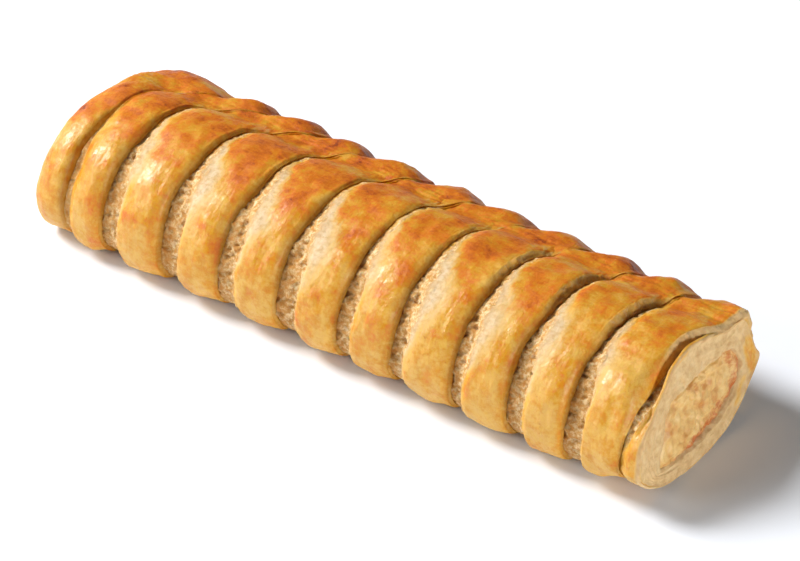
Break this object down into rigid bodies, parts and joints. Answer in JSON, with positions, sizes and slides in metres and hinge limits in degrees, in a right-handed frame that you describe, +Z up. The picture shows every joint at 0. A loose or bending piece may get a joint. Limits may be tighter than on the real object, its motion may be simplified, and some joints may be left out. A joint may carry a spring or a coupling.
{
  "type": "chicken pastry roll",
  "caption": "Long baked puff pastry roll with bulging scored bands across its top, cut off at both ends to show the chicken filling.",
  "frame": {"origin": "on the surface that the roll stands on, below the middle of its box", "axes": "+X along the roll towards the slanted cut end, +Y from the bulging front towards the seam at the back, +Z up"},
  "size_m": [0.1624, 0.0522, 0.0289],
  "materials": {
    "baked_pastry": "egg-glazed golden crust over pale flaky dough, satin",
    "chicken_filling": "moist minced chicken, satin"
  },
  "bodies": {
    "root": {"pastry": "baked_pastry", "chicken_filling": "chicken_filling"}
  },
  "joints": []
}
